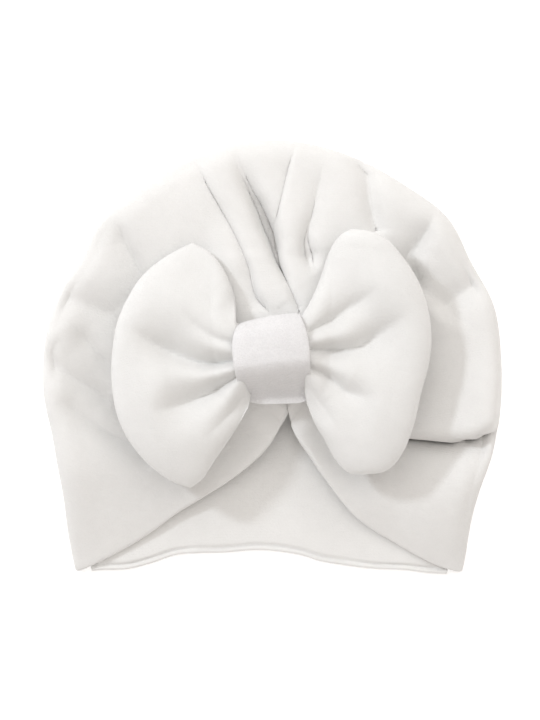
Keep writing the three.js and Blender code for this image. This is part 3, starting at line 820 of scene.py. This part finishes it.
def knit_group():
    """Brushed jersey close up: rows of stitches, a soft nap and slow unevenness, as a height and a colour.
    The colour wanders at random, and the hollows are painted darker as painted shade.
    """
    group = bpy.data.node_groups.new("brushed_jersey", "ShaderNodeTree")
    add_socket(group, "NodeSocketFloat", "Stitch size", 0.0009)
    add_socket(group, "NodeSocketFloat", "Nap", 0.5)
    add_socket(group, "NodeSocketFloat", "Painted stitch shade", 0.1)
    add_socket(group, "NodeSocketColor", "Cloth", (0.8, 0.8, 0.8, 1))
    add_socket(group, "NodeSocketColor", "Tint", (0.8, 0.8, 0.8, 1))
    add_socket(group, "NodeSocketFloat", "Height", way="OUTPUT")
    add_socket(group, "NodeSocketColor", "Color", way="OUTPUT")
    add_socket(group, "NodeSocketFloat", "Rough", way="OUTPUT")
    nodes, links = group.nodes, group.links
    inside, outside = nodes.new("NodeGroupInput"), nodes.new("NodeGroupOutput")
    place = nodes.new("ShaderNodeTexCoord")

    def math_node(operation, a, b=None):
        node = nodes.new("ShaderNodeMath")
        node.operation = operation
        for socket, value in zip(node.inputs, (a, b)):
            if value is None:
                continue
            if isinstance(value, (int, float)):
                socket.default_value = value
            else:
                links.new(value, socket)
        return node.outputs[0]

    def noise(scale, detail, rough=0.55):
        node = nodes.new("ShaderNodeTexNoise")
        node.inputs["Scale"].default_value = scale
        node.inputs["Detail"].default_value = detail
        node.inputs["Roughness"].default_value = rough
        links.new(place.outputs["Object"], node.inputs["Vector"])
        return node.outputs["Fac"]

    uv = nodes.new("ShaderNodeUVMap")
    uv.uv_map = "knit"
    split = nodes.new("ShaderNodeSeparateXYZ")
    links.new(uv.outputs[0], split.inputs[0])
    turns = math_node("DIVIDE", 2 * math.pi, inside.outputs["Stitch size"])
    wale = math_node("SINE", math_node("MULTIPLY", split.outputs[0], turns))
    course = math_node("SINE", math_node("MULTIPLY", split.outputs[1], math_node("MULTIPLY", turns, 1.35)))
    courses = math_node("ADD", math_node("MULTIPLY", course, 0.35), 1.0)
    stitches = math_node("MULTIPLY", math_node("ABSOLUTE", wale), courses)
    nap = math_node("MULTIPLY", noise(1300, 3, 0.65), inside.outputs["Nap"])
    fluff = math_node("ADD", nap, math_node("MULTIPLY", noise(210, 3), 0.4))
    height = math_node("ADD", math_node("MULTIPLY", stitches, 0.16), fluff)
    links.new(height, outside.inputs["Height"])
    # painted shade: the hollows between the stitches and in the nap are painted a little darker
    painted_stitch_shade = math_node("MULTIPLY", math_node("SUBTRACT", height, 0.55), inside.outputs["Painted stitch shade"])
    shade = nodes.new("ShaderNodeMix")
    shade.data_type = "RGBA"
    links.new(noise(26, 3), shade.inputs["Factor"])
    links.new(inside.outputs["Cloth"], shade.inputs[6])
    links.new(inside.outputs["Tint"], shade.inputs[7])
    painted_shade_node = nodes.new("ShaderNodeHueSaturation")
    links.new(math_node("ADD", painted_stitch_shade, 1.0), painted_shade_node.inputs["Value"])
    links.new(shade.outputs[2], painted_shade_node.inputs["Color"])
    links.new(painted_shade_node.outputs[0], outside.inputs["Color"])
    links.new(math_node("ADD", math_node("MULTIPLY", noise(500, 2), 0.12), 0.84), outside.inputs["Rough"])


def jersey(name, cloth, tint, nap, bump, painted_stitch_shade):
    """White jersey whose colour wanders between cloth and tint, with painted shade in the hollows of its
    knit.
    """
    material = bpy.data.materials.new(name)
    material.use_nodes = True
    nodes, links = material.node_tree.nodes, material.node_tree.links
    shader = nodes["Principled BSDF"]
    knit = nodes.new("ShaderNodeGroup")
    knit.node_tree = bpy.data.node_groups["brushed_jersey"]
    knit.inputs["Cloth"].default_value = (*cloth, 1)
    knit.inputs["Tint"].default_value = (*tint, 1)
    knit.inputs["Nap"].default_value = nap
    knit.inputs["Painted stitch shade"].default_value = painted_stitch_shade
    bumped = nodes.new("ShaderNodeBump")
    bumped.inputs["Strength"].default_value = bump
    bumped.inputs["Distance"].default_value = 0.0005
    links.new(knit.outputs["Height"], bumped.inputs["Height"])
    links.new(bumped.outputs["Normal"], shader.inputs["Normal"])
    links.new(knit.outputs["Color"], shader.inputs["Base Color"])
    links.new(knit.outputs["Rough"], shader.inputs["Roughness"])
    shader.inputs["Specular IOR Level"].default_value = 0.25
    shader.inputs["Sheen Weight"].default_value = 0.05
    shader.inputs["Sheen Roughness"].default_value = 0.6
    shader.inputs["Subsurface Weight"].default_value = 0.35
    shader.inputs["Subsurface Radius"].default_value = (1, 1, 1)
    shader.inputs["Subsurface Scale"].default_value = 0.0035
    return material


def plain_floor():
    """A pale floor that glows a little, so that it stays white beside the hat."""
    bm = bmesh.new()
    bmesh.ops.create_grid(bm, x_segments=1, y_segments=1, size=2.0)
    # a hair under the cloth that lies on it
    bmesh.ops.translate(bm, verts=bm.verts, vec=(0, 0, -0.0004))
    mesh = bpy.data.meshes.new("floor")
    bm.to_mesh(mesh)
    bm.free()
    floor = bpy.data.objects.new("floor", mesh)
    bpy.context.scene.collection.objects.link(floor)
    material = bpy.data.materials.new("pale_floor")
    material.use_nodes = True
    shader = material.node_tree.nodes["Principled BSDF"]
    shader.inputs["Base Color"].default_value = (0.9, 0.9, 0.9, 1)
    shader.inputs["Roughness"].default_value = 0.9
    shader.inputs["Emission Color"].default_value = (1, 1, 1, 1)
    shader.inputs["Emission Strength"].default_value = 0.36
    mesh.materials.append(material)


def add_lamp(name, size, energy, color, toward, elevation):
    """A round lamp that shines at the hat. toward: the way to it as seen from above."""
    data = bpy.data.lights.new(name, "AREA")
    data.shape = "DISK"
    data.size = size
    data.energy = energy
    data.color = color
    lamp = bpy.data.objects.new(name, data)
    bpy.context.scene.collection.objects.link(lamp)
    flat = math.cos(math.radians(elevation)) / math.hypot(*toward)
    up = math.sin(math.radians(elevation))
    lamp.location = (LAMP_AWAY * flat * toward[0], LAMP_AWAY * flat * toward[1], LAMP_AWAY * up)
    lamp.rotation_mode = "QUATERNION"
    lamp.rotation_quaternion = lamp.location.to_track_quat("Z", "Y")


knit_group()
crown = make_crown()
bow = make_bow()
knot = make_knot()

# The bow's cloth is a little darker than the crown's. The knot's cloth is darker still as painted shade, with
# more painted shade in its stitches, and its nap and knit stand up more
smooth_cloth = dict(nap=0.5, bump=0.7, painted_stitch_shade=0.12)
rough_cloth_with_painted_shade = dict(nap=0.8, bump=0.9, painted_stitch_shade=0.26)
for piece, name, cloth, tint, finish in (
    (crown, "crown_jersey", (0.80, 0.797, 0.785), (0.84, 0.837, 0.827), smooth_cloth),
    (bow, "bow_jersey", (0.775, 0.775, 0.765), (0.805, 0.804, 0.797), smooth_cloth),
    (knot, "knot_jersey", (0.765, 0.76, 0.77), (0.785, 0.78, 0.787), rough_cloth_with_painted_shade),
):
    piece.data.materials.append(jersey(name, cloth, tint, **finish))

for piece, node in ((crown, "crown"), (bow, "bow"), (knot, "knot")):
    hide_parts(node)
    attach(piece, "root")

plain_floor()

# A cool window at the upper left, a wide ceiling lamp and a warm, bright room
LAMP_AWAY = 1.3
add_lamp("window", 0.15, 4.7, (0.92, 0.97, 1.03), (-0.84, 0.54), 44)
add_lamp("ceiling", 1.5, 7.4, (1, 0.995, 0.985), (0.1, 0.7), 61)
world = bpy.data.worlds.new("room")
bpy.context.scene.world = world
world.use_nodes = True
world.node_tree.nodes["Background"].inputs["Color"].default_value = (1, 0.94, 0.89, 1)
world.node_tree.nodes["Background"].inputs["Strength"].default_value = 0.64
bpy.context.scene.view_settings.view_transform = "Standard"

# The camera looks straight down, and its frame is the photograph's
camera_data = bpy.data.cameras.new("camera")
camera_data.sensor_width = 36
camera_data.lens = 18 / (PICTURE_TALL * MM_PER_PIXEL / 2 / CAMERA_HEIGHT)
camera = bpy.data.objects.new("camera", camera_data)
bpy.context.scene.collection.objects.link(camera)
camera_x = (PICTURE_WIDE / 2 - MIDDLE[0]) * MM_PER_PIXEL
camera_y = (MIDDLE[1] - PICTURE_TALL / 2) * MM_PER_PIXEL + SHIFT_Y
camera.location = (camera_x / 1000, camera_y / 1000, CAMERA_HEIGHT / 1000)
bpy.context.scene.camera = camera

bpy.context.view_layer.update()
